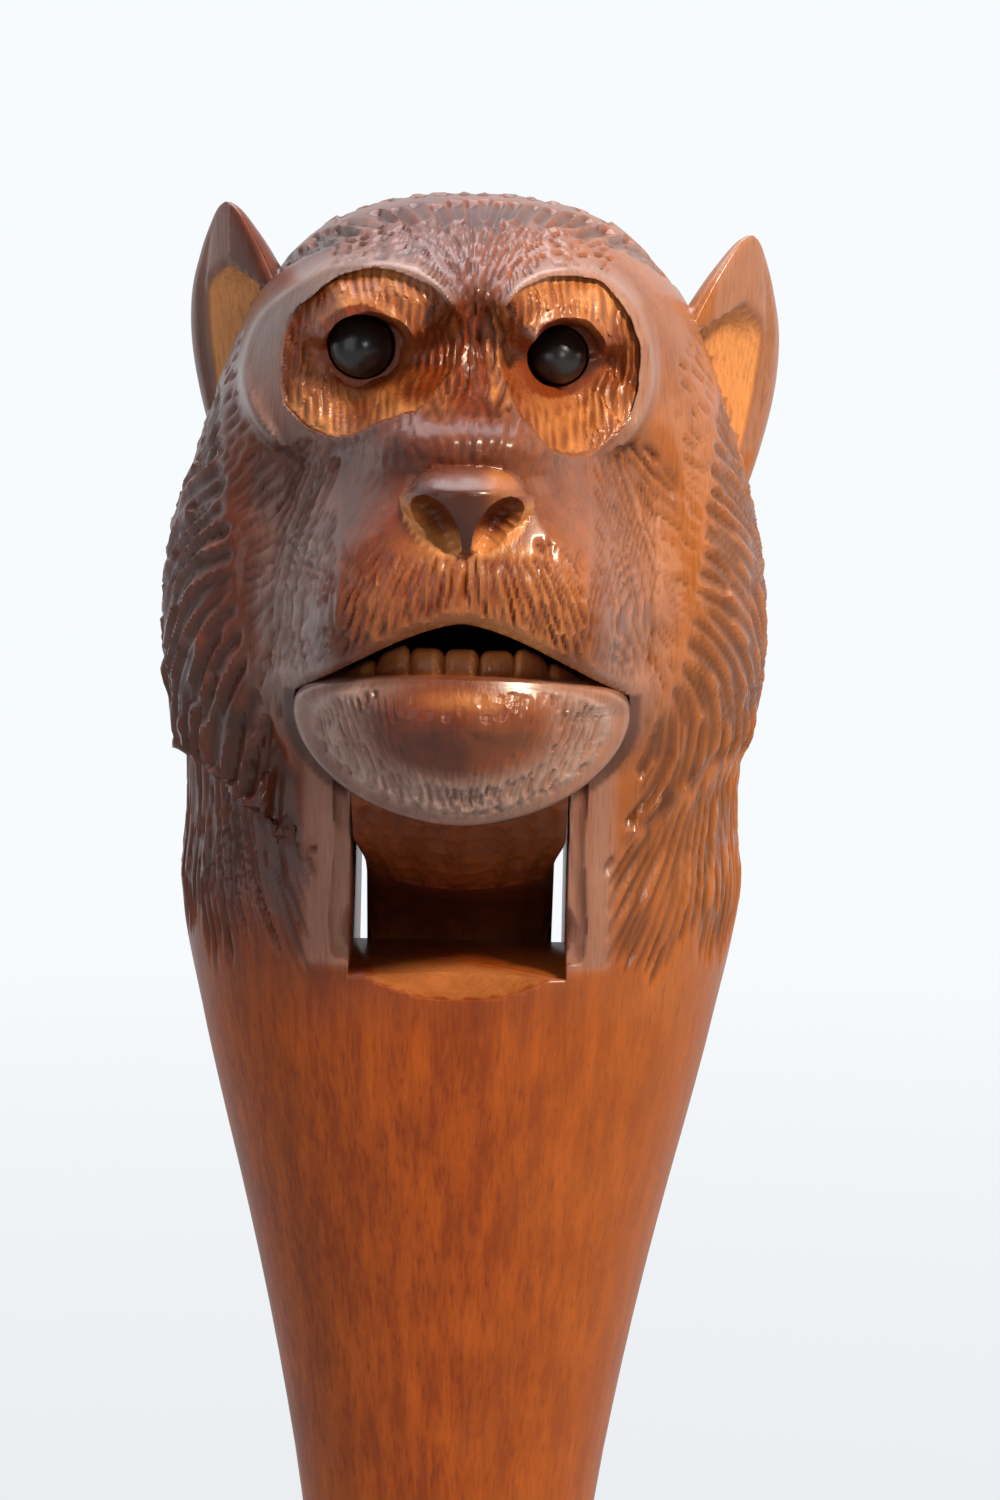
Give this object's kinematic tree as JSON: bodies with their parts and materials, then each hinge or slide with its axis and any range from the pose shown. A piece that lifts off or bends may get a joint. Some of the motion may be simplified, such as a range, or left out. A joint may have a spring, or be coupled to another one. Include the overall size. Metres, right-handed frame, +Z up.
{
  "type": "lever nutcracker",
  "caption": "Carved wooden lever nutcracker in the form of an ape's head on a tapering handle, with a hinged lower jaw and glass bead eyes.",
  "frame": {"origin": "centre of the bounding box at the handles' feet, on the surface that the nutcracker stands on", "axes": "+Z up along the handles to the crown of the head, -Y out of the face, +X towards the viewer's right of the face"},
  "size_m": [0.0542, 0.0674, 0.1939],
  "materials": {
    "head_wood": "satin varnish over red-brown stain",
    "lever_wood": "satin varnish over red-brown stain",
    "eye_glass": "glossy black",
    "pin_steel": "plain"
  },
  "bodies": {
    "body": {"head_and_handle": "head_wood", "hinge_pin": "pin_steel", "eye_bead_left": "eye_glass", "eye_bead_right": "eye_glass", "eye_wire_left": "pin_steel", "eye_wire_right": "pin_steel"},
    "jaw": {"jaw_lever": "lever_wood"}
  },
  "joints": [
    {"name": "jaw_hinge", "type": "hinge", "parent": "body", "child": "jaw", "pos_m": [0, 0.0058, 0.147], "axis": [1, 0, 0], "range_deg": [0, 28]}
  ]
}
